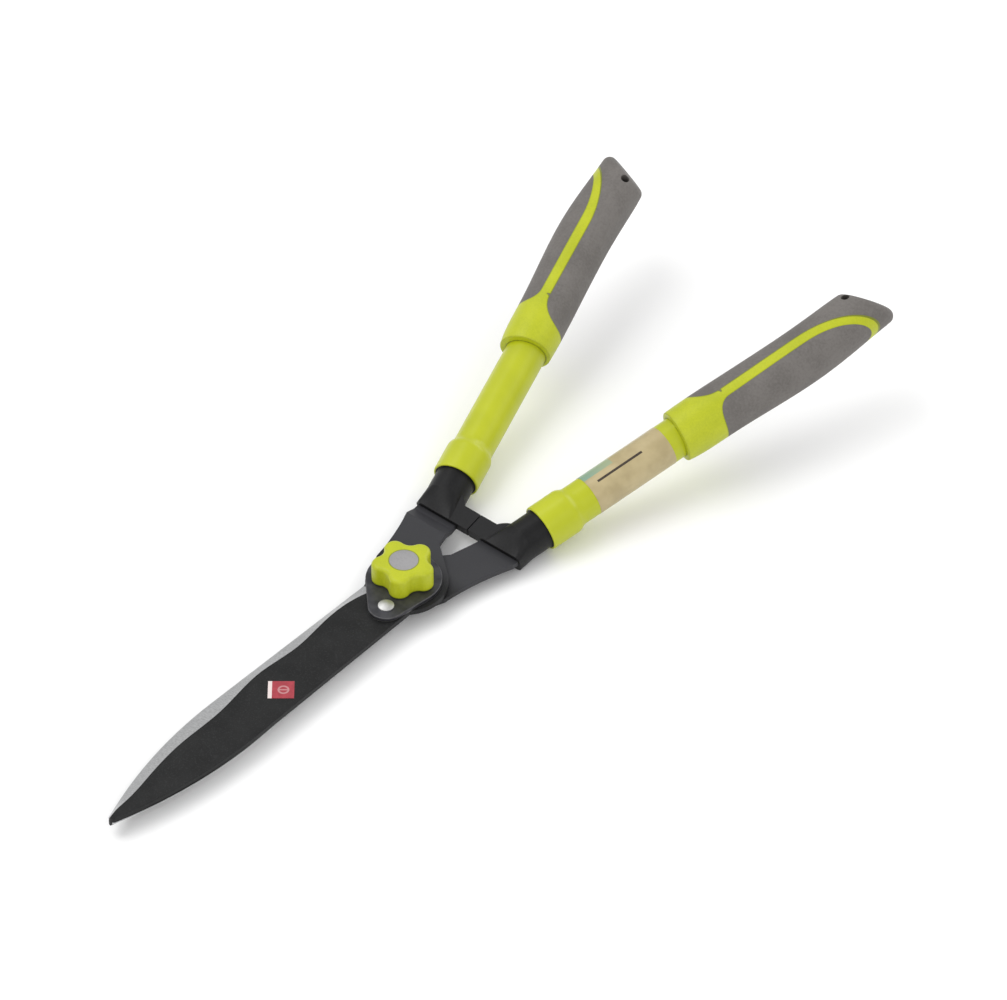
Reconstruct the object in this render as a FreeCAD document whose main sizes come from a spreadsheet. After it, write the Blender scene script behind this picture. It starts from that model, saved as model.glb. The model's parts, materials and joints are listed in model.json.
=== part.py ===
"""Two-handed hedge shears with tubular handles, soft grips and a star-shaped tension knob.

Frame: millimetres, +Z up along the pivot axis, +Y from the blade tips to the handles, the origin
under the centre of the closed shears' bounding box. The upper blade belongs to the left handle.
"""
import FreeCAD
import Part
import Sketcher
import math
import os
import re

RIGHT = 1
LEFT = -1

DIMENSIONS = {
    # where the pivot stands in the part's frame
    "pivot_y": -36.87,
    "pivot_height": 11.58,
    # blades
    "blade_thickness": 3.2,
    "blade_gap": 0.2,
    "running_gap": 0.1,
    "seat_gap": 0.05,
    "edge_heel_x": 16.8,
    "edge_heel_y": -17.0,
    "edge_belly_x": 19.8,
    "edge_belly_y": -146.0,
    "edge_curve_radius": 296.0,
    "tip_half_width": 2.4,
    "tip_y": -255.6,
    "tip_radius": 3.0,
    "back_belly_y": -140.0,
    "back_curve_radius": 322.0,
    "upper_back_belly_x": 19.7,
    "upper_back_heel_x": 19.7,
    "upper_boss_radius": 26.5,
    "lower_back_belly_x": 19.3,
    "lower_back_heel_x": 16.4,
    "lower_boss_radius": 22.4,
    "boss_end_angle": 48.0,
    "crotch_x": 4.4,
    "crotch_y": 37.4,
    # tangs, measured from the pivot
    "tang_shoulder_x": 26.3,
    "tang_shoulder_y": 6.0,
    "tang_edge_radius": 170.0,
    "joggle_start_y": 46.0,
    "joggle_start_inner_x": 6.8,
    "joggle_start_outer_x": 37.4,
    "joggle_end_y": 54.0,
    "joggle_end_inner_x": 8.8,
    "joggle_end_outer_x": 38.5,
    "neck_y": 59.6,
    "neck_inner_x": 9.9,
    "neck_outer_x": 39.0,
    "bend_x": 27.0,
    "bend_y": 62.7,
    "tail_width": 16.0,
    "tail_length": 58.0,
    "tail_root": 2.0,
    # ground bevel: distance of each station from the pivot, and the bevel's width there
    "bevel_depth": 2.6,
    "bevel_place_a": 8.0,
    "bevel_width_a": 4.8,
    "bevel_place_b": 25.0,
    "bevel_width_b": 6.4,
    "bevel_place_c": 54.0,
    "bevel_width_c": 4.4,
    "bevel_place_d": 84.0,
    "bevel_width_d": 7.4,
    "bevel_place_e": 113.0,
    "bevel_width_e": 5.7,
    "bevel_place_f": 152.0,
    "bevel_width_f": 10.4,
    "bevel_place_g": 186.0,
    "bevel_width_g": 8.9,
    "bevel_place_i": 218.0,
    "bevel_width_i": 7.6,
    "bevel_place_j": 240.0,
    "bevel_width_j": 5.2,
    "bevel_place_k": 258.8,
    "bevel_width_k": 2.4,
    # pivot hardware
    "bolt_radius": 4.0,
    "bolt_square": 7.9,
    "bolt_head_radius": 9.5,
    "bolt_head_height": 3.6,
    "bolt_top": 16.6,
    "square_hole": 8.0,
    "bush_radius": 5.6,
    "bush_bore": 4.06,
    "plate_thickness": 2.5,
    "plate_radius": 22.8,
    "plate_end_radius": 10.8,
    "plate_hole_radius": 4.4,
    "plate_edge_round": 0.5,
    "plate_outline_edge": 20.0,
    "rivet_x": 7.9,
    "rivet_y": -25.3,
    "rivet_radius": 2.4,
    "rivet_head_radius": 4.8,
    "rivet_rim": 0.7,
    "rivet_dome": 1.4,
    "washer_radius": 8.4,
    "washer_thickness": 1.0,
    "spring_thickness": 0.6,
    "spring_height": 1.2,
    # knob
    "knob_gap": 0.5,
    "knob_height": 13.5,
    "knob_core_radius": 10.0,
    "knob_lobe_reach": 12.8,
    "knob_lobe_radius": 6.4,
    "knob_valley_radius": 6.5,
    "knob_top_round": 2.4,
    "knob_angle": 11.0,
    "knob_recess_radius": 9.0,
    "knob_recess_depth": 2.1,
    "knob_bore": 4.3,
    "nut_width": 13.0,
    "nut_height": 6.5,
    "nut_bore": 4.06,
    "cap_radius": 8.6,
    "cap_thickness": 1.6,
    "cap_crown": 0.5,
    # handles: the tilted plane that holds both, and places along each handle from its bend
    "handle_tilt": 12.76,
    "handle_splay": 14.53,
    "tube_radius": 12.5,
    "tube_wall": 1.2,
    "bell_radius": 14.5,
    "bell_start": 24.5,
    "bell_lip_width": 0.5,
    "bell_lip_depth": 0.8,
    "bell_lip_round": 1.2,
    "bell_end": 43.0,
    "bell_shoulder": 50.0,
    "bell_blend": 7.0,
    "tube_end": 243.0,
    # black collars with their bumper arms, in the tilted plane
    "collar_front": -4.0,
    "collar_front_width": 28.4,
    "collar_front_top": 5.7,
    "collar_front_bottom": 6.6,
    "collar_front_round": 3.4,
    "collar_round_start": 10.0,
    "collar_radius": 12.4,
    "collar_plug_radius": 13.2,
    "collar_plug_end": 41.0,
    "spigot_radius": 11.2,
    "spigot_end": 60.0,
    "arm_bottom": -0.4,
    "arm_top": 5.7,
    "arm_rear": 9.2,
    "arm_rear_root": 15.0,
    "arm_root_x": 22.0,
    "arm_end_x": 0.35,
    "arm_knee_x": 12.5,
    "pad_width": 10.4,
    "pad_height": 4.6,
    "pad_round": 1.0,
    "pad_proud": 0.2,
    "pad_depth": 3.0,
    # grips
    "grip_mouth": 126.2,
    "grip_mouth_band": 4.0,
    "grip_mouth_slope": -0.125,
    "grip_mouth_round": 0.8,
    "grip_end": 276.0,
    "grip_end_slope": 0.6,
    "grip_end_round": 4.8,
    "grip_lift": 0.9,
    "left_grip_turn": 14.0,
    "right_grip_turn": 0.0,
    "grip_reach": 40.0,
    "rod_radius": 13.6,
    "rod_end": 250.0,
    # rings of a grip: place along the handle, radius, and how far its centre bows outward
    "ring_place_a": 120.0,
    "ring_radius_a": 14.9,
    "ring_bow_a": 0.5,
    "ring_place_b": 134.0,
    "ring_radius_b": 16.5,
    "ring_bow_b": 1.1,
    "ring_place_c": 156.0,
    "ring_radius_c": 16.7,
    "ring_bow_c": 1.4,
    "ring_place_d": 188.0,
    "ring_radius_d": 17.0,
    "ring_bow_d": 2.5,
    "ring_place_e": 221.0,
    "ring_radius_e": 17.3,
    "ring_bow_e": 3.1,
    "ring_place_f": 245.0,
    "ring_radius_f": 17.0,
    "ring_bow_f": 1.9,
    "ring_place_g": 262.0,
    "ring_radius_g": 16.4,
    "ring_bow_g": 0.7,
    "ring_place_h": 300.0,
    "ring_radius_h": 15.0,
    "ring_bow_h": -1.8,
    "stripe_inner": 0.9,
    "stripe_outer": 7.7,
    "stripe_bend_inner": 218.0,
    "stripe_bend_outer": 222.0,
    "stripe_radius_inner": 92.4,
    "stripe_radius_outer": 90.0,
    "stripe_exit_x": 21.5,
    "stripe_drop": 11.5,
    "stripe_overlap": 2.0,
    "panel_inner_start": 160.0,
    "panel_inner_radius": 16.0,
    "panel_outer_start": 163.0,
    "panel_outer_radius": 10.5,
    "hang_hole_radius": 2.6,
    "hang_hole_place": 260.5,
    "hang_hole_offset": -4.4,
    # labels
    "label_thickness": 0.15,
    "tube_label_start": 60.5,
    "tube_label_end": 117.0,
    "tube_label_gap": 50.0,
    "blade_label_length": 15.4,
    "blade_label_width": 14.2,
    "blade_label_x": 5.6,
    "blade_label_y": -116.0,
    "blade_label_turn": 40.0,
}

BEVEL_STATIONS = "abcdefgijk"
GRIP_RINGS = "abcdefgh"
KNOB_LOBES = 5
NEAR = 0.05

DOC = FreeCAD.newDocument("hedge_shears")
SHEET = DOC.addObject("Spreadsheet::Sheet", "Dims")
ALIAS = re.compile(r"\b(" + "|".join(sorted(DIMENSIONS, key=len, reverse=True)) + r")\b")


def fill_sheet():
    """Write every driving dimension as a text number with an alias."""
    for row, (alias, number) in enumerate(DIMENSIONS.items(), start=1):
        SHEET.set(f"A{row}", alias.replace("_", " "))
        SHEET.set(f"B{row}", str(number))
        SHEET.setAlias(f"B{row}", alias)
    DOC.recompute()


def dims(expression):
    """Turn aliases in an expression into references to the sheet."""
    return ALIAS.sub(r"Dims.\1", str(expression))


def size(expression):
    """The number that an expression of driving dimensions gives."""
    result = SHEET.evalExpression(dims(expression))
    return float(getattr(result, "Value", result))


def vector(x, y, z=0):
    return FreeCAD.Vector(size(x), size(y), size(z))


# ---------------------------------------------------------------- frames

def pivot_frame():
    """At the pivot axis, on the plane where the blades slide on each other."""
    return FreeCAD.Placement(vector(0, "pivot_y", "pivot_height"), FreeCAD.Rotation())


def bend_frame():
    """On the bend line of the tangs, tilted into the plane that holds both handles."""
    place = vector(0, "bend_y", "-blade_thickness / 2")
    tilt = FreeCAD.Rotation(FreeCAD.Vector(1, 0, 0), size("handle_tilt"))
    return pivot_frame().multiply(FreeCAD.Placement(place, tilt))


def handle_frame(side):
    """At one tang's bend: Z along the handle, Y up, and -X to the right of the shears."""
    turn = FreeCAD.Rotation(FreeCAD.Vector(0, 0, 1), -side * size("handle_splay"))
    stand = FreeCAD.Rotation(
        FreeCAD.Vector(-1, 0, 0), FreeCAD.Vector(0, 0, 1), FreeCAD.Vector(0, 1, 0), "XYZ")
    place = FreeCAD.Vector(side * size("bend_x"), 0, 0)
    return bend_frame().multiply(FreeCAD.Placement(place, turn.multiply(stand)))


def grip_frame(name, side):
    """A handle's frame, turned about the handle to where that grip's stripe and hole stand."""
    turn = FreeCAD.Rotation(FreeCAD.Vector(0, 0, 1), size(f"{name}_turn"))
    return handle_frame(side).multiply(FreeCAD.Placement(FreeCAD.Vector(0, 0, 0), turn))


# ---------------------------------------------------------------- document helpers

def new_body(name, placement):
    body = DOC.addObject("PartDesign::Body", name)
    body.Label = name
    body.Placement = placement
    return body


def new_sketch(body, role, name, lift=0):
    """A sketch on one of the body's own origin planes, lifted along the plane's normal."""
    sketch = body.newObject("Sketcher::SketchObject", name)
    plane = [item for item in body.Origin.OriginFeatures if item.Role == role][0]
    sketch.AttachmentSupport = [(plane, "")]
    sketch.MapMode = "FlatFace"
    sketch.setExpression("AttachmentOffset.Base.z", dims(lift))
    return sketch


def fix_point(sketch, geometry, point, x, y):
    """Hold one point of a sketch at the place that two expressions give."""
    for kind, expression in (("DistanceX", x), ("DistanceY", y)):
        index = sketch.addConstraint(Sketcher.Constraint(kind, -1, 1, geometry, point, size(expression)))
        sketch.setExpression(f"Constraints[{index}]", dims(expression))


def fix_radius(sketch, geometry, radius):
    index = sketch.addConstraint(Sketcher.Constraint("Radius", geometry, size(radius)))
    sketch.setExpression(f"Constraints[{index}]", dims(radius))


def add_circle(sketch, x, y, radius):
    circle = Part.Circle(vector(x, y), FreeCAD.Vector(0, 0, 1), size(radius))
    geometry = sketch.addGeometry(circle, False)
    fix_point(sketch, geometry, 3, x, y)
    fix_radius(sketch, geometry, radius)


def arc_centre(start, end, radius, turn):
    """Centre of the short arc from start to end; turn is +1 anticlockwise and -1 clockwise."""
    chord = end - start
    reach = math.sqrt(max(radius ** 2 - (chord.Length / 2) ** 2, 0))
    across = FreeCAD.Vector(-chord.y, chord.x, 0).normalize()
    return start + chord * 0.5 + across * (turn * reach)


def arc_between(start, end, radius, turn):
    """The short arc itself, through the point opposite its chord's middle."""
    chord = end - start
    across = FreeCAD.Vector(chord.y, -chord.x, 0).normalize()
    centre = arc_centre(start, end, radius, turn)
    return Part.Arc(start, centre + across * (turn * radius), end)


def add_outline(sketch, corners):
    """A closed outline. Each corner is (x, y) or, where an arc ends there, (x, y, radius, turn)."""
    places = [vector(corner[0], corner[1]) for corner in corners]
    count = len(corners)
    for index, corner in enumerate(corners):
        start = places[index - 1]
        if len(corner) == 2:
            sketch.addGeometry(Part.LineSegment(start, places[index]), False)
        else:
            sketch.addGeometry(arc_between(start, places[index], size(corner[2]), corner[3]), False)
    first = [2 if len(corner) == 4 and corner[3] < 0 else 1 for corner in corners]
    last = [3 - point for point in first]
    for index in range(count):
        following = (index + 1) % count
        sketch.addConstraint(
            Sketcher.Constraint("Coincident", index, last[index], following, first[following]))
    for index, corner in enumerate(corners):
        fix_point(sketch, index, last[index], corner[0], corner[1])
        if len(corner) == 4:
            fix_radius(sketch, index, corner[2])


def rounded_box(width, top, bottom, radius, middle=0):
    """Corners of a box with four rounded corners, drawn anticlockwise."""
    left = f"{middle} - {width} / 2"
    right = f"{middle} + {width} / 2"
    return [
        (f"{right} - {radius}", f"-{bottom}"),
        (right, f"-{bottom} + {radius}", radius, 1),
        (right, f"{top} - {radius}"),
        (f"{right} - {radius}", top, radius, 1),
        (f"{left} + {radius}", top),
        (left, f"{top} - {radius}", radius, 1),
        (left, f"-{bottom} + {radius}"),
        (f"{left} + {radius}", f"-{bottom}", radius, 1),
    ]


def split_circle(radius):
    """A circle in eight arcs that answer to the edges of a rounded box, for a loft between the two."""
    return [(f"{radius} * cos({angle})", f"{radius} * sin({angle})", radius, 1)
            for angle in (310, 335, 25, 50, 130, 155, 205, 230)]


def pad(body, sketch, name, length, both_ways=False, reverse=False):
    feature = body.newObject("PartDesign::Pad", name)
    feature.Profile = sketch
    feature.setExpression("Length", dims(length))
    feature.Midplane = both_ways
    feature.Reversed = reverse
    DOC.recompute()
    return feature


def pocket(body, sketch, name, length, both_ways=False, reverse=False):
    """Cut a sketch through the body, and make sure that it did cut."""
    before = body.Shape.Volume
    feature = body.newObject("PartDesign::Pocket", name)
    feature.Profile = sketch
    feature.setExpression("Length", dims(length))
    feature.Midplane = both_ways
    feature.Reversed = reverse
    DOC.recompute()
    if body.Shape.Volume > before - 1e-3:
        raise RuntimeError(f"{name} cuts nothing")
    return feature


def revolve(body, sketch, name):
    """Turn a sketch a full turn about its own vertical axis."""
    feature = body.newObject("PartDesign::Revolution", name)
    feature.Profile = sketch
    feature.ReferenceAxis = (sketch, ["V_Axis"])
    feature.Angle = 360
    DOC.recompute()
    return feature


def loft(body, kind, sketches, name, ruled=False):
    feature = body.newObject(f"PartDesign::{kind}", name)
    feature.Profile = sketches[0]
    feature.Sections = sketches[1:]
    feature.Ruled = ruled
    DOC.recompute()
    return feature


def round_edges(body, base, name, radius, chosen):
    """Fillet the edges of a feature that a test picks out."""
    names = [f"Edge{index}" for index, edge in enumerate(base.Shape.Edges, start=1) if chosen(edge)]
    if not names:
        raise RuntimeError(f"{name} finds no edge")
    feature = body.newObject("PartDesign::Fillet", name)
    feature.Base = (base, names)
    feature.setExpression("Radius", dims(radius))
    DOC.recompute()
    return feature


def flat_at(level):
    """A test for edges that lie whole in the plane z = level."""
    height = size(level)

    def test(edge):
        box = edge.BoundBox
        return abs(box.ZMin - height) < NEAR and abs(box.ZMax - height) < NEAR

    return test


def dome(half_width, rise):
    """Radius of the arc that rises from a rim to the axis and is level there."""
    return f"({half_width} ^ 2 + {rise} ^ 2) / (2 * {rise})"


def turned_piece(name, frame, corners):
    """A piece turned about the Z axis of a frame from half of its section."""
    body = new_body(name, frame)
    sketch = new_sketch(body, "XZ_Plane", f"{name}_section")
    add_outline(sketch, corners)
    revolve(body, sketch, f"{name}_turn")
    return body


# ---------------------------------------------------------------- blades

def edge_place(station):
    """How far the cutting edge is from the middle line at one station of the bevel."""
    place = size(f"-bevel_place_{station}")
    heel = vector("edge_heel_x", "edge_heel_y")
    belly = vector("edge_belly_x", "edge_belly_y")
    if place > belly.y:
        return belly.x + (heel.x - belly.x) * (place - belly.y) / (heel.y - belly.y)
    radius = size("edge_curve_radius")
    centre = arc_centre(belly, vector("tip_half_width", "tip_y"), radius, -1)
    return centre.x + math.sqrt(radius ** 2 - (place - centre.y) ** 2)


def blade_outline(side, level, end):
    """The flat blade, boss and tang, seen from above; the tang and the edge are on one side."""
    turn = side
    boss = f"{level}_boss_radius"
    heel = f"{level}_back_heel_x"
    belly = f"{level}_back_belly_x"

    def at(x, y, *arc):
        return (f"{side} * ({x})", y) + tuple(arc)

    return [
        at("crotch_x", "crotch_y"),
        at(f"joggle_{end}_inner_x", f"joggle_{end}_y"),
        at(f"joggle_{end}_outer_x", f"joggle_{end}_y"),
        at("tang_shoulder_x", "tang_shoulder_y", "tang_edge_radius", turn),
        at("edge_heel_x", "edge_heel_y"),
        at("edge_belly_x", "edge_belly_y"),
        at("tip_half_width", "tip_y", "edge_curve_radius", -turn),
        at("-tip_half_width", "tip_y", "tip_radius", -turn),
        at(f"-{belly}", "back_belly_y", "back_curve_radius", -turn),
        at(f"-{heel}", f"-sqrt({boss} ^ 2 - {heel} ^ 2)"),
        at(f"-{boss} * cos(boss_end_angle)", f"{boss} * sin(boss_end_angle)", boss, -turn),
    ]


def grind_bevel(body, side, face, away):
    """Grind the cutting edge: a loft through triangles whose width follows the blade's waves."""
    sections = []
    for station in BEVEL_STATIONS:
        place = f"bevel_place_{station}"
        sketch = new_sketch(body, "XZ_Plane", f"{body.Name}_bevel_{station}", place)
        edge = edge_place(station)
        outside = f"{side} * {edge + 1:.3f}"
        inside = f"{side} * ({edge:.3f} - bevel_width_{station})"
        below = f"{face} - {away} * bevel_depth * (bevel_width_{station} + 1) / bevel_width_{station}"
        add_outline(sketch, [(inside, face), (outside, below), (outside, face)])
        sections.append(sketch)
    before = body.Shape.Volume
    loft(body, "SubtractiveLoft", sections, f"{body.Name}_bevel")
    if body.Shape.Volume > before - 1:
        raise RuntimeError("the bevel cuts nothing")


def tail_outline(side):
    """The narrow tail of a tang in the handles' plane, along its handle."""
    corners = []
    for reach, half in (("-tail_root", "tail_width / 2"), ("tail_length", "tail_width / 2"),
                        ("tail_length", "-tail_width / 2"), ("-tail_root", "-tail_width / 2")):
        x = f"bend_x + {reach} * sin(handle_splay) + {half} * cos(handle_splay)"
        y = f"{reach} * cos(handle_splay) - {half} * sin(handle_splay)"
        corners.append((f"{side} * ({x})", y))
    return corners


def tilted_sketch(body, name):
    """A sketch in the plane of the handles, for a body that stands in the pivot's frame."""
    sketch = new_sketch(body, "XY_Plane", name)
    sketch.setExpression("AttachmentOffset.Base.y", dims("bend_y"))
    sketch.setExpression("AttachmentOffset.Base.z", dims("-blade_thickness / 2"))
    sketch.AttachmentOffset = FreeCAD.Placement(
        vector(0, "bend_y", "-blade_thickness / 2"),
        FreeCAD.Rotation(FreeCAD.Vector(1, 0, 0), size("handle_tilt")))
    sketch.setExpression("AttachmentOffset.Rotation.Angle", dims("handle_tilt"))
    return sketch


def tang_root(body, side):
    """The flat end of the tang inside the collar, and its tail bent up along the handle."""
    def at(x, y):
        return (f"{side} * ({x})", y)

    root = new_sketch(body, "XY_Plane", f"{body.Name}_root_plan", "-blade_thickness")
    add_outline(root, [
        at("joggle_end_inner_x", "joggle_end_y"),
        at("joggle_end_outer_x", "joggle_end_y"),
        at("neck_outer_x", "neck_y"),
        at("bend_x + tail_width / 2", "neck_y"),
        at("bend_x + tail_width / 2", "bend_y"),
        at("bend_x - tail_width / 2", "bend_y"),
        at("bend_x - tail_width / 2", "neck_y"),
        at("neck_inner_x", "neck_y"),
    ])
    pad(body, root, f"{body.Name}_root", "blade_thickness")
    tail = tilted_sketch(body, f"{body.Name}_tail_plan")
    add_outline(tail, tail_outline(side))
    pad(body, tail, f"{body.Name}_tail", "blade_thickness", both_ways=True)


def lower_blade():
    body = new_body("lower_blade", pivot_frame())
    plan = new_sketch(body, "XY_Plane", "lower_plan", "-blade_thickness")
    add_outline(plan, blade_outline(RIGHT, "lower", "end"))
    pad(body, plan, "lower_flat", "blade_thickness")
    tang_root(body, RIGHT)
    hole = new_sketch(body, "XY_Plane", "lower_square", "0")
    half = "square_hole / 2"
    add_outline(hole, [(half, f"-{half}"), (half, half), (f"-{half}", half), (f"-{half}", f"-{half}")])
    pocket(body, hole, "lower_square_hole", "blade_thickness")
    grind_bevel(body, RIGHT, "-blade_thickness", -1)
    return body


def upper_blade():
    body = new_body("upper_blade", pivot_frame())
    plan = new_sketch(body, "XY_Plane", "upper_plan", "blade_gap")
    add_outline(plan, blade_outline(LEFT, "upper", "start"))
    pad(body, plan, "upper_flat", "blade_thickness")
    sections = []
    for place, low in (("start", "blade_gap"), ("end", "-blade_thickness")):
        sketch = new_sketch(body, "XZ_Plane", f"upper_joggle_{place}", f"-joggle_{place}_y")
        inner = f"-joggle_{place}_inner_x"
        outer = f"-joggle_{place}_outer_x"
        high = f"{low} + blade_thickness"
        add_outline(sketch, [(outer, low), (inner, low), (inner, high), (outer, high)])
        sections.append(sketch)
    loft(body, "AdditiveLoft", sections, "upper_joggle", ruled=True)
    tang_root(body, LEFT)
    holes = new_sketch(body, "XY_Plane", "upper_holes", "blade_gap + blade_thickness")
    add_circle(holes, 0, 0, "bush_radius")
    add_circle(holes, "rivet_x", "rivet_y", "rivet_radius")
    pocket(body, holes, "upper_hole_cut", "blade_thickness")
    grind_bevel(body, LEFT, "blade_gap + blade_thickness", 1)
    return body


# ---------------------------------------------------------------- pivot hardware

PLATE_BASE = "(blade_gap + blade_thickness)"
PLATE_TOP = "(blade_gap + blade_thickness + plate_thickness)"
KNOB_BASE = "(blade_gap + blade_thickness + plate_thickness + knob_gap)"


def pivot_bolt():
    """Domed head under the lower blade, square neck, and a shank up into the knob."""
    body = new_body("pivot_bolt", pivot_frame())
    section = new_sketch(body, "XZ_Plane", "bolt_section")
    add_outline(section, [
        (0, "-blade_thickness - bolt_head_height"),
        ("bolt_head_radius / 2", "-blade_thickness - bolt_head_height"),
        ("bolt_head_radius", "-blade_thickness - bolt_head_height / 3", "bolt_head_radius", 1),
        ("bolt_head_radius", "-blade_thickness"),
        ("bolt_radius", "-blade_thickness"),
        ("bolt_radius", "bolt_top - 0.8"),
        ("bolt_radius - 0.8", "bolt_top"),
        (0, "bolt_top"),
    ])
    revolve(body, section, "bolt_turn")
    neck = new_sketch(body, "XY_Plane", "bolt_neck_plan", "-blade_thickness")
    half = "bolt_square / 2"
    add_outline(neck, [(half, f"-{half}"), (half, half), (f"-{half}", half), (f"-{half}", f"-{half}")])
    pad(body, neck, "bolt_neck", "blade_thickness - 0.2")
    return body


def pivot_bush():
    """Plain bush in the upper blade that runs on the bolt."""
    return turned_piece("pivot_bush", pivot_frame(), [
        ("bush_bore", "blade_gap"), ("bush_radius", "blade_gap"),
        ("bush_radius", PLATE_BASE), ("bush_bore", PLATE_BASE)])


def cover_plate():
    """Teardrop plate over the upper blade: two round ends joined by their common tangents."""
    body = new_body("cover_plate", pivot_frame())
    plan = new_sketch(body, "XY_Plane", "plate_plan", PLATE_BASE)
    span = math.hypot(size("rivet_x"), size("rivet_y"))
    heading = math.atan2(size("rivet_y"), size("rivet_x"))
    spread = math.acos((size("plate_radius") - size("plate_end_radius")) / span)
    centres = (FreeCAD.Vector(0, 0, 0), vector("rivet_x", "rivet_y"))
    radii = (size("plate_radius"), size("plate_end_radius"))

    def rim(which, angle):
        outward = FreeCAD.Vector(math.cos(angle), math.sin(angle), 0)
        return centres[which] + outward * radii[which]

    big = Part.Arc(rim(0, heading + spread), rim(0, heading + math.pi), rim(0, heading - spread))
    small = Part.Arc(rim(1, heading - spread), rim(1, heading), rim(1, heading + spread))
    plan.addGeometry(big, False)
    plan.addGeometry(Part.LineSegment(rim(0, heading - spread), rim(1, heading - spread)), False)
    plan.addGeometry(small, False)
    plan.addGeometry(Part.LineSegment(rim(1, heading + spread), rim(0, heading + spread)), False)
    fix_point(plan, 0, 3, 0, 0)
    fix_radius(plan, 0, "plate_radius")
    fix_point(plan, 2, 3, "rivet_x", "rivet_y")
    fix_radius(plan, 2, "plate_end_radius")
    for first, first_end, second, second_end in ((0, 2, 1, 1), (1, 2, 2, 1), (2, 2, 3, 1), (3, 2, 0, 1)):
        plan.addConstraint(Sketcher.Constraint("Tangent", first, first_end, second, second_end))
    add_circle(plan, 0, 0, "plate_hole_radius")
    add_circle(plan, "rivet_x", "rivet_y", "rivet_radius")
    base = pad(body, plan, "plate_blank", "plate_thickness")
    top = flat_at(PLATE_TOP)
    round_edges(body, base, "plate_edge", "plate_edge_round",
                lambda edge: top(edge) and edge.BoundBox.DiagonalLength > size("plate_outline_edge"))
    return body


def cover_rivet():
    """Domed rivet that holds the narrow end of the cover plate to the upper blade."""
    frame = pivot_frame().multiply(FreeCAD.Placement(vector("rivet_x", "rivet_y"), FreeCAD.Rotation()))
    return turned_piece("cover_rivet", frame, [
        (0, "blade_gap + running_gap"),
        ("rivet_radius", "blade_gap + running_gap"),
        ("rivet_radius", PLATE_TOP),
        ("rivet_head_radius", PLATE_TOP),
        ("rivet_head_radius", f"{PLATE_TOP} + rivet_rim"),
        (0, f"{PLATE_TOP} + rivet_rim + rivet_dome", dome("rivet_head_radius", "rivet_dome"), 1)])


def disc_spring():
    """Coned spring washer between the cover plate and the thrust washer."""
    return turned_piece("disc_spring", pivot_frame(), [
        ("plate_hole_radius", f"{PLATE_TOP} + spring_height - spring_thickness"),
        ("washer_radius", PLATE_TOP),
        ("washer_radius", f"{PLATE_TOP} + spring_thickness"),
        ("plate_hole_radius", f"{PLATE_TOP} + spring_height")])


def thrust_washer():
    """Flat washer that rises and falls with the knob."""
    low = f"({PLATE_TOP} + spring_height + running_gap)"
    return turned_piece("thrust_washer", pivot_frame(), [
        ("nut_bore", low), ("washer_radius", low),
        ("washer_radius", f"{low} + washer_thickness"), ("nut_bore", f"{low} + washer_thickness")])


def knob_body():
    """Star knob: a round core with rounded lobes, recessed below for the washers and the nut."""
    turn = FreeCAD.Rotation(FreeCAD.Vector(0, 0, 1), size("knob_angle"))
    body = new_body("knob_body", pivot_frame().multiply(FreeCAD.Placement(vector(0, 0), turn)))
    core = new_sketch(body, "XY_Plane", "knob_core_plan", KNOB_BASE)
    add_circle(core, 0, 0, "knob_core_radius")
    pad(body, core, "knob_core", "knob_height")
    lobe = new_sketch(body, "XY_Plane", "knob_lobe_plan", KNOB_BASE)
    add_outline(lobe, [
        (0, "-knob_lobe_radius"),
        ("knob_lobe_reach", "-knob_lobe_radius"),
        ("knob_lobe_reach + knob_lobe_radius", 0, "knob_lobe_radius", 1),
        ("knob_lobe_reach", "knob_lobe_radius", "knob_lobe_radius", 1),
        (0, "knob_lobe_radius"),
    ])
    lobe_pad = pad(body, lobe, "knob_lobe", "knob_height")
    star = body.newObject("PartDesign::PolarPattern", "knob_star")
    star.Originals = [lobe_pad]
    star.Axis = (core, ["N_Axis"])
    star.Angle = 360
    star.Occurrences = KNOB_LOBES
    body.Tip = star
    DOC.recompute()

    def valley(edge):
        box = edge.BoundBox
        corner = size("knob_lobe_radius") / math.sin(math.pi / KNOB_LOBES)
        reach = math.hypot(box.Center.x, box.Center.y)
        return box.ZLength > size("knob_height") - NEAR and reach < corner + NEAR

    blank = round_edges(body, star, "knob_valleys", "knob_valley_radius", valley)
    blank = round_edges(body, blank, "knob_top", "knob_top_round", flat_at(f"{KNOB_BASE} + knob_height"))
    recess = new_sketch(body, "XY_Plane", "knob_recess_plan", KNOB_BASE)
    add_circle(recess, 0, 0, "knob_recess_radius")
    pocket(body, recess, "knob_recess", "knob_recess_depth", reverse=True)
    nut = new_sketch(body, "XY_Plane", "knob_nut_plan", f"{KNOB_BASE} + knob_recess_depth")
    add_outline(nut, hexagon("nut_width"))
    pocket(body, nut, "knob_nut_pocket", "nut_height", reverse=True)
    bore = new_sketch(body, "XY_Plane", "knob_bore_plan", f"{KNOB_BASE} + knob_recess_depth + nut_height")
    add_circle(bore, 0, 0, "knob_bore")
    pocket(body, bore, "knob_bore_cut", "knob_height - knob_recess_depth - nut_height", reverse=True)
    cap = new_sketch(body, "XY_Plane", "knob_cap_plan", f"{KNOB_BASE} + knob_height")
    add_circle(cap, 0, 0, "cap_radius")
    pocket(body, cap, "knob_cap_seat", "cap_thickness")
    return body


def hexagon(width):
    """Corners of a hexagon of a given width across its flats, drawn anticlockwise."""
    return [(f"{width} / sqrt(3) * cos({60 * corner})", f"{width} / sqrt(3) * sin({60 * corner})")
            for corner in range(6)]


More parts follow.
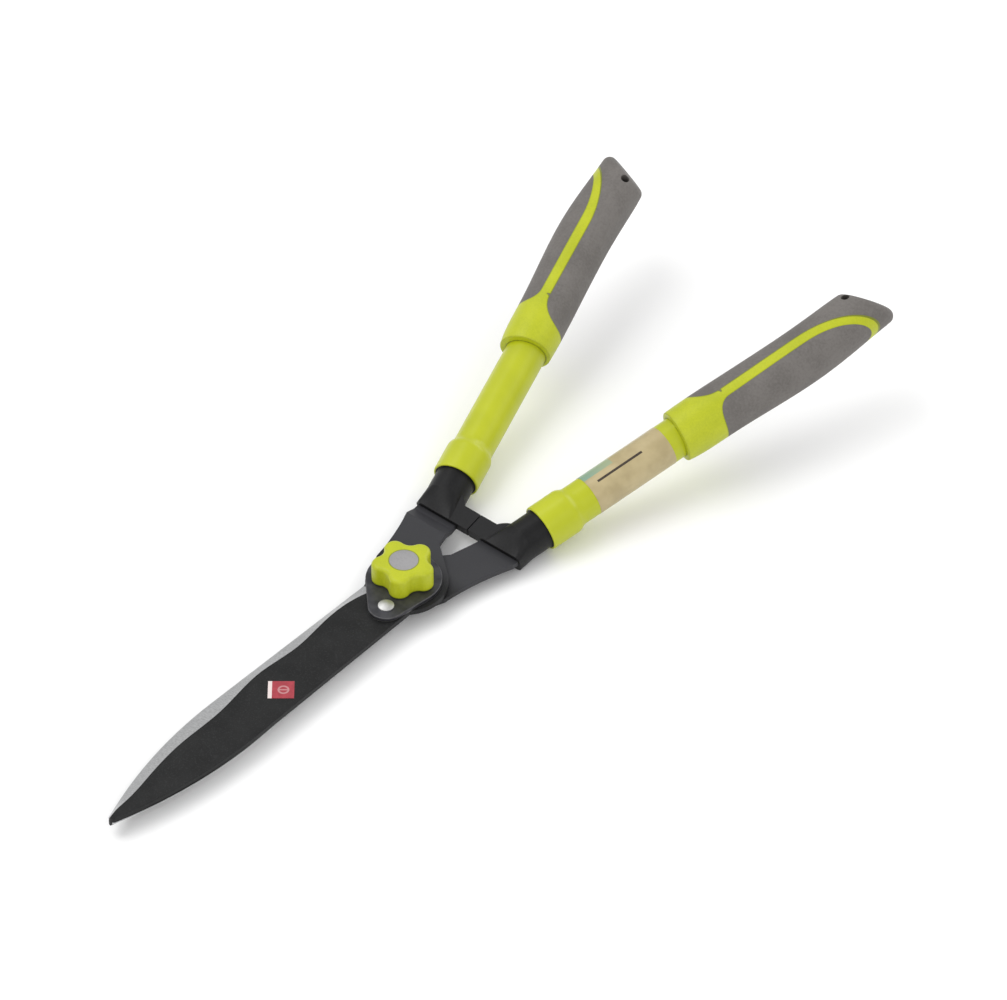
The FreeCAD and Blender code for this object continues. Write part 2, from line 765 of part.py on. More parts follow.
def knob_nut():
    """Hexagon nut moulded into the knob."""
    turn = FreeCAD.Rotation(FreeCAD.Vector(0, 0, 1), size("knob_angle"))
    body = new_body("knob_nut", pivot_frame().multiply(FreeCAD.Placement(vector(0, 0), turn)))
    plan = new_sketch(body, "XY_Plane", "nut_plan", f"{KNOB_BASE} + knob_recess_depth")
    add_outline(plan, hexagon("nut_width"))
    add_circle(plan, 0, 0, "nut_bore")
    pad(body, plan, "nut_blank", "nut_height")
    return body


def knob_cap():
    """Round cap pressed into the top of the knob, slightly crowned."""
    low = f"({KNOB_BASE} + knob_height - cap_thickness)"
    return turned_piece("knob_cap", pivot_frame(), [
        (0, low), ("cap_radius", low), ("cap_radius", f"{low} + cap_thickness"),
        (0, f"{low} + cap_thickness + cap_crown", dome("cap_radius", "cap_crown"), 1)])


# ---------------------------------------------------------------- handles

def handle_tube(name, side):
    """Steel tube with a belled mouth that holds the collar."""
    wall = "tube_wall"
    body = turned_piece(name, handle_frame(side), [
        (f"bell_radius - {wall}", "bell_start"),
        ("bell_radius - bell_lip_width", "bell_start"),
        ("bell_radius", "bell_start + bell_lip_depth", "bell_lip_round", 1),
        ("bell_radius", "bell_end"),
        ("(bell_radius + tube_radius) / 2", "(bell_end + bell_shoulder) / 2", "bell_blend", 1),
        ("tube_radius", "bell_shoulder", "bell_blend", -1),
        ("tube_radius", "tube_end"),
        (f"tube_radius - {wall}", "tube_end"),
        (f"tube_radius - {wall}", "bell_shoulder"),
        (f"(bell_radius + tube_radius) / 2 - {wall}", "(bell_end + bell_shoulder) / 2", "bell_blend", 1),
        (f"bell_radius - {wall}", "bell_end", "bell_blend", -1),
    ])
    return body


def section_sketch(body, name, side, along, corners):
    """A sketch square to one handle, in a body that stands in the bend frame."""
    sketch = new_sketch(body, "XZ_Plane", name)
    across = f"{side} * (bend_x + ({along}) * sin(handle_splay))"
    forward = f"-({along}) * cos(handle_splay)"
    sketch.AttachmentOffset = FreeCAD.Placement(
        vector(across, 0, forward), FreeCAD.Rotation(FreeCAD.Vector(0, -side, 0), size("handle_splay")))
    sketch.setExpression("AttachmentOffset.Base.x", dims(across))
    sketch.setExpression("AttachmentOffset.Base.z", dims(forward))
    sketch.setExpression("AttachmentOffset.Rotation.Angle", dims("handle_splay"))
    add_outline(sketch, corners)
    return sketch


def bumper_collar(name, side, tang):
    """Black moulding round the tang: flat in front, round behind, with an arm to the middle."""
    body = new_body(f"{name}_moulding", bend_frame())
    front = new_sketch(body, "XZ_Plane", f"{name}_front", "-collar_front")
    middle = f"{side} * (bend_x + collar_front * tan(handle_splay))"
    add_outline(front, rounded_box("collar_front_width", "collar_front_top",
                                   "collar_front_bottom", "collar_front_round", middle))
    rear = section_sketch(body, f"{name}_rear", side, "collar_round_start", split_circle("collar_radius"))
    loft(body, "AdditiveLoft", [front, rear], f"{name}_nose")
    for part, start, end, radius in (("neck", "collar_round_start", "bell_start + seat_gap", "collar_radius"),
                                     ("plug", "bell_start + seat_gap", "collar_plug_end", "collar_plug_radius"),
                                     ("spigot", "collar_plug_end", "spigot_end", "spigot_radius")):
        sketch = section_sketch(body, f"{name}_{part}_plan", side, start, [])
        add_circle(sketch, 0, 0, radius)
        pad(body, sketch, f"{name}_{part}", f"{end} - ({start})", reverse=True)

    def at(x, y, *arc):
        return (f"{side} * ({x})", y) + tuple(arc)

    arm = new_sketch(body, "XY_Plane", f"{name}_arm_plan", "arm_bottom")
    add_outline(arm, [
        at("arm_end_x", "collar_front"),
        at("arm_root_x", "collar_front"),
        at("arm_root_x", "arm_rear_root"),
        at("arm_knee_x", "arm_rear", "arm_rear_root", side),
        at("arm_end_x", "arm_rear"),
    ])
    pad(body, arm, f"{name}_arm", "arm_top - arm_bottom")
    seat = new_sketch(body, "YZ_Plane", f"{name}_seat_face", f"{side} * arm_end_x")
    add_outline(seat, pad_corners())
    pocket(body, seat, f"{name}_seat", "pad_depth", reverse=side > 0)
    collar = DOC.addObject("Part::Cut", name)
    collar.Label = name
    collar.Base = body
    collar.Tool = tang
    DOC.recompute()
    return collar


def pad_corners():
    """Outline of a rubber pad in the end face of its bumper arm."""
    across = "((collar_front + arm_rear) / 2)"
    box = rounded_box("pad_width", "pad_height / 2", "pad_height / 2", "pad_round", across)
    return [(corner[0], f"{corner[1]} + (arm_top + arm_bottom) / 2") + corner[2:] for corner in box]


def bumper_pad(name, side):
    """Rubber pad in the end of a bumper arm; the two pads all but meet when the shears are closed."""
    body = new_body(name, bend_frame())
    face = new_sketch(body, "YZ_Plane", f"{name}_face", f"{side} * (arm_end_x - pad_proud)")
    add_outline(face, pad_corners())
    pad(body, face, f"{name}_block", "pad_proud + pad_depth", reverse=side < 0)
    return body


# ---------------------------------------------------------------- grips

def outward(body):
    """+1 where the X axis of a handle's frame points out of the shears, and -1 where it points in."""
    return 1 if body.Placement.Base.x < 0 else -1


def leaning_cut(body, name, place, out_slope, up_slope, ahead):
    """Cut a grip with a leaning plane, ahead of it or behind it, from its place on the handle's axis."""
    normal = FreeCAD.Vector(-outward(body) * size(out_slope), size(up_slope), 1)
    sketch = new_sketch(body, "XY_Plane", f"{name}_plan", place)
    sketch.AttachmentOffset = FreeCAD.Placement(
        vector(0, 0, place), FreeCAD.Rotation(FreeCAD.Vector(0, 0, 1), normal))
    sketch.setExpression("AttachmentOffset.Base.z", dims(place))
    half = "grip_reach"
    add_outline(sketch, [(half, f"-{half}"), (half, half), (f"-{half}", half), (f"-{half}", f"-{half}")])
    return pocket(body, sketch, name, "grip_reach * 2", reverse=ahead)


def grip_blank(name, side):
    """The whole grip as one solid: a bowed loft with leaning ends, a bore and a hanging hole."""
    body = new_body(f"{name}_blank", grip_frame(name, side))
    out = outward(body)
    rings = []
    for ring in GRIP_RINGS:
        sketch = new_sketch(body, "XY_Plane", f"{name}_ring_{ring}", f"ring_place_{ring}")
        add_circle(sketch, f"{out} * ring_bow_{ring}", "grip_lift", f"ring_radius_{ring}")
        rings.append(sketch)
    loft(body, "AdditiveLoft", rings, f"{name}_loft")
    mouth = leaning_cut(body, f"{name}_mouth", "grip_mouth", "grip_mouth_slope", 0, False)
    first = size("grip_mouth + grip_mouth_band")
    round_edges(body, mouth, f"{name}_mouth_round", "grip_mouth_round",
                lambda edge: edge.BoundBox.ZMax < first)
    end = leaning_cut(body, f"{name}_end", "grip_end", "grip_end_slope", "grip_end_slope", True)
    last = size("grip_end")
    round_edges(body, end, f"{name}_end_round", "grip_end_round",
                lambda edge: edge.BoundBox.ZMax > last)
    bore = new_sketch(body, "XY_Plane", f"{name}_bore_plan", "tube_end")
    add_circle(bore, 0, 0, "tube_radius")
    pocket(body, bore, f"{name}_bore", "tube_end")
    hole = new_sketch(body, "XZ_Plane", f"{name}_hole_plan")
    add_circle(hole, f"{out} * hang_hole_offset", "hang_hole_place", "hang_hole_radius")
    pocket(body, hole, f"{name}_hang_hole", "grip_reach * 2", both_ways=True)
    return body


def grip_heart(name, side):
    """What the hard core fills: the rod inside the sleeve, the ferrule and the stripe."""
    rod = new_body(f"{name}_rod", grip_frame(name, side))
    plan = new_sketch(rod, "XY_Plane", f"{name}_rod_plan", "ring_place_a")
    add_circle(plan, 0, 0, "rod_radius")
    pad(rod, plan, f"{name}_rod_pad", "rod_end - ring_place_a")
    band = new_body(f"{name}_band", grip_frame(name, side))
    out = outward(band)

    def at(x, y, *arc):
        return (f"{out} * ({x})", y) + ((arc[0], out * arc[1]) if arc else ())

    def arc_exit(bend, radius, edge):
        return f"{bend} + sqrt({radius} ^ 2 - ({radius} - (stripe_exit_x - {edge})) ^ 2)"

    shield = new_sketch(band, "XZ_Plane", f"{name}_shield_plan")
    add_outline(shield, [
        at("-grip_reach", "ring_place_a"),
        at("grip_reach", "ring_place_a"),
        at("grip_reach", "panel_outer_start - panel_outer_radius"),
        at("stripe_outer + panel_outer_radius", "panel_outer_start - panel_outer_radius"),
        at("stripe_outer", "panel_outer_start", "panel_outer_radius", -1),
        at("stripe_inner", "panel_inner_start"),
        at("stripe_inner - panel_inner_radius", "panel_inner_start - panel_inner_radius",
           "panel_inner_radius", -1),
        at("-grip_reach", "panel_inner_start - panel_inner_radius"),
    ])
    pad(band, shield, f"{name}_shield_pad", "grip_reach * 2", both_ways=True)
    stripe = new_sketch(band, "XZ_Plane", f"{name}_stripe_plan", "-grip_reach")
    add_outline(stripe, [
        at("stripe_inner", "panel_outer_start - stripe_overlap"),
        at("stripe_outer", "panel_outer_start - stripe_overlap"),
        at("stripe_outer", "stripe_bend_outer"),
        at("stripe_exit_x", arc_exit("stripe_bend_outer", "stripe_radius_outer", "stripe_outer"),
           "stripe_radius_outer", -1),
        at("stripe_exit_x", arc_exit("stripe_bend_inner", "stripe_radius_inner", "stripe_inner")),
        at("stripe_inner", "stripe_bend_inner", "stripe_radius_inner", 1),
    ])
    pad(band, stripe, f"{name}_stripe_pad", "grip_reach + stripe_drop")
    heart = DOC.addObject("Part::Fuse", f"{name}_heart")
    heart.Base = rod
    heart.Tool = band
    DOC.recompute()
    return heart


def grip(side_name, side):
    """Split the grip's blank between its hard core and the soft sleeve that is moulded over it."""
    name = f"{side_name}_grip"
    blank = grip_blank(name, side)
    heart = grip_heart(name, side)
    parts = []
    for kind, label in (("Part::Common", f"{name}_core"), ("Part::Cut", f"{name}_sleeve")):
        part = DOC.addObject(kind, label)
        part.Label = label
        part.Base = blank
        part.Tool = heart
        parts.append(part)
    DOC.recompute()
    return parts


# ---------------------------------------------------------------- labels

def tube_label():
    """Thin label wrapped round the right tube, open along the underside."""
    body = new_body("tube_label", handle_frame(RIGHT))
    section = new_sketch(body, "YZ_Plane", "tube_label_section")
    add_outline(section, [
        ("tube_radius", "tube_label_start"),
        ("tube_radius + label_thickness", "tube_label_start"),
        ("tube_radius + label_thickness", "tube_label_end"),
        ("tube_radius", "tube_label_end"),
    ])
    wrap = revolve(body, section, "tube_label_wrap")
    wrap.Midplane = True
    wrap.setExpression("Angle", dims("360 - tube_label_gap"))
    DOC.recompute()
    return body


def blade_label():
    """Small square label on the upper blade, set cornerwise."""
    label = DOC.addObject("Part::Box", "blade_label")
    label.Label = "blade_label"
    label.setExpression("Length", dims("blade_label_length"))
    label.setExpression("Width", dims("blade_label_width"))
    label.setExpression("Height", dims("label_thickness"))
    turn = FreeCAD.Rotation(FreeCAD.Vector(0, 0, 1), size("blade_label_turn"))
    centre = FreeCAD.Placement(vector("blade_label_x", "blade_label_y", PLATE_BASE), turn)
    corner = vector("-blade_label_length / 2", "-blade_label_width / 2")
    offset = FreeCAD.Placement(corner, FreeCAD.Rotation())
    label.Placement = pivot_frame().multiply(centre).multiply(offset)
    DOC.recompute()
    return label


# ---------------------------------------------------------------- the whole

def build():
    fill_sheet()
    lower = lower_blade()
    upper = upper_blade()
    pieces = [
        lower, upper,
        pivot_bolt(), pivot_bush(), cover_plate(), cover_rivet(), disc_spring(), thrust_washer(),
        knob_body(), knob_nut(), knob_cap(),
    ]
    for side_name, side, tang in (("left", LEFT, upper), ("right", RIGHT, lower)):
        pieces.append(handle_tube(f"{side_name}_tube", side))
        pieces.append(bumper_collar(f"{side_name}_collar", side, tang))
        pieces.append(bumper_pad(f"{side_name}_bumper_pad", side))
        pieces.extend(grip(side_name, side))
    pieces += [tube_label(), blade_label()]
    return pieces


def check(pieces):
    """Stop if anything in the document failed, or if a piece isn't one sound solid."""
    DOC.recompute()
    for item in DOC.Objects:
        if "Invalid" in item.State or "Error" in item.State:
            raise RuntimeError(f"{item.Label}: {item.State}")
    for piece in pieces:
        if piece.Shape.isNull() or not piece.Shape.isValid() or not piece.Shape.Solids:
            raise RuntimeError(f"{piece.Label} has no sound shape")


def write(pieces):
    os.makedirs("parts", exist_ok=True)
    whole = FreeCAD.BoundBox()
    for piece in pieces:
        piece.Shape.exportStep(f"parts/{piece.Label}.step")
        box = piece.Shape.optimalBoundingBox(False)
        whole.add(box)
        print(f"{piece.Label:20s} solids {len(piece.Shape.Solids)}  volume {piece.Shape.Volume:10.1f}")
    print("box", [round(v, 3) for v in (
        whole.XMin, whole.YMin, whole.ZMin, whole.XMax, whole.YMax, whole.ZMax)])


all_pieces = build()
check(all_pieces)
write(all_pieces)
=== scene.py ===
"""Looks for the hedge shears: a procedural material for every CAD piece, floor, light and camera."""

import json
import math

import bpy
from mathutils import Matrix, Vector


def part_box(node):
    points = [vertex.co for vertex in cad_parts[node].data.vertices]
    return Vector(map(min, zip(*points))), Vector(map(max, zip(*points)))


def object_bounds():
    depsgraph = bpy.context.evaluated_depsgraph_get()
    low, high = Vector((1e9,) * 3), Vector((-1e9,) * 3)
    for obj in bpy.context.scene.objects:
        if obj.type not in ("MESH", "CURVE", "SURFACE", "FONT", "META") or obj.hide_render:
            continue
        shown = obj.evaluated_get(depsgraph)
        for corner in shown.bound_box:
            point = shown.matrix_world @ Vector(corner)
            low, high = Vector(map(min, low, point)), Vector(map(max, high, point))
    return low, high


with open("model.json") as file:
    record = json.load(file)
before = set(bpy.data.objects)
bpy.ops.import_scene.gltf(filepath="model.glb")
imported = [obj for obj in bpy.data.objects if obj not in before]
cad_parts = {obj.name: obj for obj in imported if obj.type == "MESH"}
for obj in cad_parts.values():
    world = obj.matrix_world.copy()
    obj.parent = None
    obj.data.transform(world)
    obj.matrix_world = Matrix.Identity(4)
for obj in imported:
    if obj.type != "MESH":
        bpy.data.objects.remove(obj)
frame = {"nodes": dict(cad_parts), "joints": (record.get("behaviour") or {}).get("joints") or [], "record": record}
CAD_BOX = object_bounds()
MM = 0.001

# the slope and the turn of the right handle, and its tang's bend seen from the pivot, as in the CAD
TILT = math.radians(12.76)
SPLAY = math.radians(14.53)
BEND = Vector((27.0, 62.7, -1.6)) * MM
PIVOT = Vector([joint for joint in frame["joints"] if joint["name"] == "shears_pivot"][0]["pos_m"])

# colours, as linear red, green and blue
LIME = (0.46, 0.50, 0.010)
LIME_DUST = (0.36, 0.40, 0.006)
LIME_COAT_SHADE = (0.41, 0.45, 0.008)
LIME_PLASTIC_SHADE = (0.39, 0.435, 0.008)
# painted shade: the dark colour laid along the lime grip's sharp borders, for the shadow in its grooves
LIME_GROOVE_SHADE = (0.10, 0.115, 0.012)
GREY = (0.165, 0.153, 0.143)
GREY_SHADE = (0.125, 0.115, 0.107)
CAP_GREY = (0.30, 0.295, 0.30)
CAP_GREY_SHADE = (0.24, 0.236, 0.24)
NYLON = (0.009, 0.009, 0.0098)
NYLON_SHADE = (0.005, 0.005, 0.0055)
PAD = (0.012, 0.012, 0.012)
PAD_SHADE = (0.007, 0.007, 0.007)
BLADE_COAT = (0.011, 0.0113, 0.0115)
BLADE_COAT_SHADE = (0.006, 0.0062, 0.0064)
BLADE_FLECK = (0.040, 0.041, 0.042)
TANG_COAT = (0.045, 0.045, 0.050)
GROUND_STEEL = (0.78, 0.785, 0.79)
GROUND_STEEL_SHADE = (0.16, 0.162, 0.165)
PLATE = (0.070, 0.070, 0.079)
PLATE_SHADE = (0.030, 0.030, 0.037)
# painted reflection: the pale colour laid along the plate's borders where light glints on them
PLATE_EDGE_GLINT = (0.30, 0.29, 0.25)
CREAM = (0.46, 0.375, 0.20)
CREAM_SHADE = (0.38, 0.305, 0.155)
PATCH_START = (0.20, 0.33, 0.24)
PATCH_END = (0.30, 0.36, 0.22)
RULE_BROWN = (0.035, 0.022, 0.012)
RED = (0.38, 0.026, 0.044)
RED_SHADE = (0.30, 0.016, 0.030)
RED_MARK = (0.62, 0.42, 0.42)
RED_STRIP = (0.72, 0.62, 0.60)
FLOOR = (0.95, 0.95, 0.95)
FLOOR_SHADE = (0.93, 0.93, 0.93)

# where a blade is ground, in millimetres from the pivot, and the upward part of its faces' normals
BEVEL_INSIDE = 1.2
BEVEL_START = 17.0
WALL_UPRIGHT = 0.45
FLAT_UPRIGHT = 0.992
TANG_SPAN = (-8.0, -26.0)

# the tube label's print: millimetres along the handle, and radians round it
PATCH_SPAN = (60.5, 82.0)
PATCH_FADE = (61.0, 81.0)
PATCH_ROUND = (-1.5, -0.14)
RULE_SPAN = (67.0, 100.0)
RULE_ROUND = (0.20, 0.32)

# the blade label's print, in millimetres from the label's middle
BLADE_LABEL_TURN = math.radians(40)
STRIP_EDGE = -5.3
RING_PLACE = 1.4
RING_RADIUS = 2.9
RING_HALF_WIDTH = 0.55
BAR_HALF_WIDTH = 0.5


# ---------------------------------------------------------------- materials

class Look:
    """A procedural material, with short calls for the nodes that feed its shader."""

    def __init__(self, name, **sockets):
        self.material = bpy.data.materials.new(name)
        self.material.use_nodes = True
        self.nodes = self.material.node_tree.nodes
        self.links = self.material.node_tree.links
        self.shader = self.nodes["Principled BSDF"]
        self.place = self.nodes.new("ShaderNodeTexCoord").outputs["Object"]
        for key, number in sockets.items():
            self.shader.inputs[key.replace("_", " ")].default_value = number

    def add(self, kind, inputs, output=0, **settings):
        node = self.nodes.new(kind)
        for key, setting in settings.items():
            setattr(node, key, setting)
        for key, source in inputs.items():
            if isinstance(source, bpy.types.NodeSocket):
                self.links.new(source, node.inputs[key])
            else:
                node.inputs[key].default_value = source
        return node.outputs[output]

    def maths(self, operation, first, second=0.0):
        return self.add("ShaderNodeMath", {0: first, 1: second}, operation=operation)

    def both(self, first, second):
        """Where two masks are both 1, or one mask made fainter by a number."""
        return self.maths("MULTIPLY", first, second)

    def within(self, source, low, high):
        """1 from low to high and 0 outside."""
        return self.both(self.maths("GREATER_THAN", source, low), self.maths("LESS_THAN", source, high))

    def near_zero(self, source, reach):
        return self.maths("LESS_THAN", self.maths("ABSOLUTE", source), reach)

    def between(self, source, low, high):
        """0 at low, 1 at high and smooth between them."""
        return self.add("ShaderNodeMapRange", {"Value": source, "From Min": low, "From Max": high},
                        interpolation_type="SMOOTHSTEP")

    def spread(self, source, low, high):
        """A 0 to 1 pattern as a number from low to high."""
        return self.add("ShaderNodeMapRange", {"Value": source, "To Min": low, "To Max": high})

    def noise(self, size_mm, detail=3.0, roughness=0.55, place=None):
        return self.add("ShaderNodeTexNoise", {
            "Vector": place or self.place, "Scale": 1 / (size_mm * MM), "Detail": detail,
            "Roughness": roughness})

    def cells(self, size_mm):
        return self.add("ShaderNodeTexVoronoi", {"Vector": self.place, "Scale": 1 / (size_mm * MM)})

    def stretched(self, scale, turn=0.0):
        """The object's coordinates drawn out along some axes."""
        return self.add("ShaderNodeMapping", {
            "Vector": self.place, "Scale": scale, "Rotation": (0, 0, turn)})

    def mix(self, factor, first, second):
        """One colour turning into another; the Mix node has its colours at sockets 6, 7 and 2."""
        node = self.nodes.new("ShaderNodeMix")
        node.data_type = "RGBA"
        for socket, source in ((0, factor), (6, first), (7, second)):
            if isinstance(source, bpy.types.NodeSocket):
                self.links.new(source, node.inputs[socket])
            else:
                node.inputs[socket].default_value = source if socket == 0 else (*source, 1)
        return node.outputs[2]

    def mix_numbers(self, factor, first, second):
        """One number turning into another; the Mix node has its numbers at sockets 2 and 3."""
        return self.add("ShaderNodeMix", {0: factor, 2: first, 3: second})

    def rim(self, reach_mm):
        """1 along a solid's sharp borders and 0 on its open faces."""
        open_faces = self.add("ShaderNodeAmbientOcclusion", {"Distance": reach_mm * MM}, output=1,
                              inside=True, only_local=True, samples=8)
        return self.between(open_faces, 0.95, 0.62)

    def measure(self, origin, direction):
        """How far a point is from an origin along a direction, in millimetres."""
        shifted = self.add("ShaderNodeVectorMath", {0: self.place, 1: origin}, operation="SUBTRACT")
        return self.add("ShaderNodeVectorMath", {0: shifted, 1: direction / MM}, output="Value",
                        operation="DOT_PRODUCT")

    def paint(self, color=None, roughness=None, metallic=None):
        for key, source in (("Base Color", color), ("Roughness", roughness), ("Metallic", metallic)):
            if source is not None:
                self.links.new(source, self.shader.inputs[key])

    def bump(self, *layers):
        """Round the borders a little and stack bumps, each a pattern and its depth in millimetres."""
        normal = self.add("ShaderNodeBevel", {"Radius": 0.3 * MM}, samples=6)
        for pattern, depth_mm in layers:
            normal = self.add("ShaderNodeBump", {
                "Height": pattern, "Distance": depth_mm * MM, "Strength": 1.0, "Normal": normal})
        self.links.new(normal, self.shader.inputs["Normal"])


def moulding(name, pale, dark, grain_mm, roughness, gloss=0.4, edge_shade=None):
    """Moulded plastic or rubber: fine spark-eroded grain, faint clouds and, if asked, painted shade darkening its
    sharp borders, standing for the shadow in the grooves beside them.
    """
    look = Look(name, Specular_IOR_Level=gloss)
    clouds = look.noise(22, detail=4)
    specks = look.noise(grain_mm * 3, detail=2)
    tone = look.maths("ADD", look.maths("MULTIPLY", clouds, 0.6), look.maths("MULTIPLY", specks, 0.4))
    color = look.mix(look.between(tone, 0.35, 0.65), dark, pale)
    # painted shade: the sharp borders darkened as if shadowed in the grooves beside them
    if edge_shade:
        color = look.mix(look.both(look.rim(1.2), 0.8), color, edge_shade)
    look.paint(color, look.spread(clouds, roughness - 0.08, roughness + 0.1))
    look.bump((look.cells(grain_mm), 0.03), (look.noise(grain_mm * 9), 0.05))
    return look.material


def powder_coat(name, pale, dark):
    """Sprayed and baked paint: orange peel, slight gloss, small dust specks."""
    look = Look(name, Specular_IOR_Level=0.35, Coat_Weight=0.18, Coat_Roughness=0.25)
    clouds = look.noise(35, detail=3)
    dust = look.between(look.noise(1.1, detail=1), 0.70, 0.78)
    body = look.mix(look.between(clouds, 0.3, 0.7), dark, pale)
    look.paint(look.mix(look.both(dust, 0.35), body, LIME_DUST), look.spread(clouds, 0.30, 0.42))
    look.bump((look.noise(1.6, detail=1), 0.04), (look.noise(6, detail=1), 0.05))
    return look.material


def bare_steel(name, tone, size_mm=0.35, polish=0.0):
    """Turned or pressed metal with fine scratches and light stains."""
    look = Look(name, Metallic=1.0, Specular_IOR_Level=0.5)
    scratches = look.noise(size_mm, detail=4, place=look.stretched((1, 1, 0.15)))
    stains = look.noise(7, detail=5)
    pale = (tone, tone, tone * 0.98)
    dark = (tone * 0.72, tone * 0.72, tone * 0.71)
    look.paint(look.mix(look.between(stains, 0.3, 0.7), dark, pale),
               look.spread(scratches, 0.22 + polish, 0.42 + polish))
    look.bump((scratches, 0.015))
    return look.material


def blade_steel(name, side, facing):
    """Dark coated blade whose ground bevel and cutting edge are bare, with grinding marks."""
    look = Look(name, Specular_IOR_Level=0.22)
    normal = look.add("ShaderNodeNewGeometry", {}, output="Normal")
    local = look.add("ShaderNodeVectorTransform", {"Vector": normal}, vector_type="NORMAL",
                     convert_from="WORLD", convert_to="OBJECT")
    up = look.maths("MULTIPLY", look.add("ShaderNodeSeparateXYZ", {"Vector": local}, output=2), facing)
    across = look.measure(PIVOT, Vector((side, 0, 0)))
    ahead = look.measure(PIVOT, Vector((0, -1, 0)))
    edge = look.both(look.maths("GREATER_THAN", across, BEVEL_INSIDE),
                     look.maths("GREATER_THAN", ahead, BEVEL_START))
    slope = look.both(look.within(up, WALL_UPRIGHT, FLAT_UPRIGHT), edge)
    wall = look.both(edge, look.near_zero(up, WALL_UPRIGHT))
    ground = look.maths("MAXIMUM", slope, wall)
    marks = look.noise(0.5, detail=5, roughness=0.65, place=look.stretched((0.12, 1, 1), 0.35))
    stains = look.noise(16, detail=5)
    fine = look.noise(0.9, detail=3)
    steel = look.mix(look.spread(marks, 0, 1), GROUND_STEEL_SHADE, GROUND_STEEL)
    coat = look.mix(look.between(stains, 0.3, 0.72), BLADE_COAT_SHADE, BLADE_COAT)
    coat = look.mix(look.both(look.between(fine, 0.52, 0.68), 0.30), coat, BLADE_FLECK)
    coat = look.mix(look.both(look.between(ahead, *TANG_SPAN), 0.75), coat, TANG_COAT)
    look.paint(look.mix(ground, coat, steel),
               look.mix_numbers(ground, look.spread(stains, 0.40, 0.55), look.spread(marks, 0.26, 0.46)),
               look.both(ground, 0.9))
    look.bump((marks, 0.02), (fine, 0.05))
    return look.material


def coated_plate(name):
    """Dark passivated plate with rolled-steel streaks and painted reflections glinting along its borders."""
    look = Look(name, Metallic=0.55, Specular_IOR_Level=0.5)
    streaks = look.noise(0.8, detail=4, place=look.stretched((0.2, 1, 1), 0.3))
    color = look.mix(look.between(look.noise(9, detail=5), 0.3, 0.7), PLATE_SHADE, PLATE)
    # painted highlight: the borders lightened as reflections glinting on them, broken by the streaks
    edge_glint = look.both(look.rim(0.7), look.spread(streaks, 0.2, 1.0))
    look.paint(look.mix(look.both(edge_glint, 0.7), color, PLATE_EDGE_GLINT), look.spread(streaks, 0.30, 0.48))
    look.bump((streaks, 0.012), (look.noise(2.5), 0.02))
    return look.material


def right_handle():
    """Origin at the right tang's bend, and the directions along the handle, outward and up."""
    lean = Matrix.Rotation(TILT, 3, "X")
    along = lean @ Vector((math.sin(SPLAY), math.cos(SPLAY), 0))
    outward = lean @ Vector((math.cos(SPLAY), -math.sin(SPLAY), 0))
    return PIVOT + BEND, along, outward, lean @ Vector((0, 0, 1))


def tube_film(name):
    """Cream film label with a plain coloured patch and one thin rule, and no lettering."""
    origin, along, outward, up = right_handle()
    look = Look(name, Specular_IOR_Level=0.45, Coat_Weight=0.3)
    place = look.measure(origin, along)
    angle = look.maths("ARCTAN2", look.measure(origin, outward), look.measure(origin, up))
    fibres = look.noise(0.6, detail=4)
    clouds = look.noise(14, detail=3)
    paper = look.mix(look.between(clouds, 0.3, 0.7), CREAM_SHADE, CREAM)
    patch = look.both(look.within(place, *PATCH_SPAN), look.within(angle, *PATCH_ROUND))
    tint = look.mix(look.between(place, *PATCH_FADE), PATCH_START, PATCH_END)
    rule = look.both(look.within(place, *RULE_SPAN), look.within(angle, *RULE_ROUND))
    print_edge = look.both(rule, look.between(fibres, 0.1, 0.3))
    look.paint(look.mix(print_edge, look.mix(patch, paper, tint), RULE_BROWN),
               look.spread(clouds, 0.30, 0.42))
    look.bump((fibres, 0.012))
    return look.material


def blade_film(name):
    """Small red label with a pale strip at one side and a faint plain ring with a bar across it."""
    low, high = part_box("blade_label")
    centre = (low + high) / 2
    look = Look(name, Specular_IOR_Level=0.5, Coat_Weight=0.4)
    cosine, sine = math.cos(BLADE_LABEL_TURN), math.sin(BLADE_LABEL_TURN)
    x = look.measure(centre, Vector((cosine, sine, 0)))
    y = look.measure(centre, Vector((-sine, cosine, 0)))
    strip = look.maths("LESS_THAN", x, STRIP_EDGE)
    from_ring = look.maths("SUBTRACT", x, RING_PLACE)
    reach = look.maths("SQRT", look.maths("ADD", look.maths("POWER", from_ring, 2.0),
                                          look.maths("POWER", y, 2.0)))
    ring = look.near_zero(look.maths("SUBTRACT", reach, RING_RADIUS), RING_HALF_WIDTH)
    bar = look.both(look.near_zero(y, BAR_HALF_WIDTH), look.maths("LESS_THAN", reach, RING_RADIUS))
    ink = look.mix(look.between(look.noise(3), 0.3, 0.7), RED_SHADE, RED)
    marked = look.mix(look.both(look.maths("MAXIMUM", ring, bar), 0.45), ink, RED_MARK)
    look.paint(look.mix(strip, marked, RED_STRIP), look.spread(look.noise(5), 0.28, 0.4))
    look.bump((look.noise(0.8), 0.01))
    return look.material


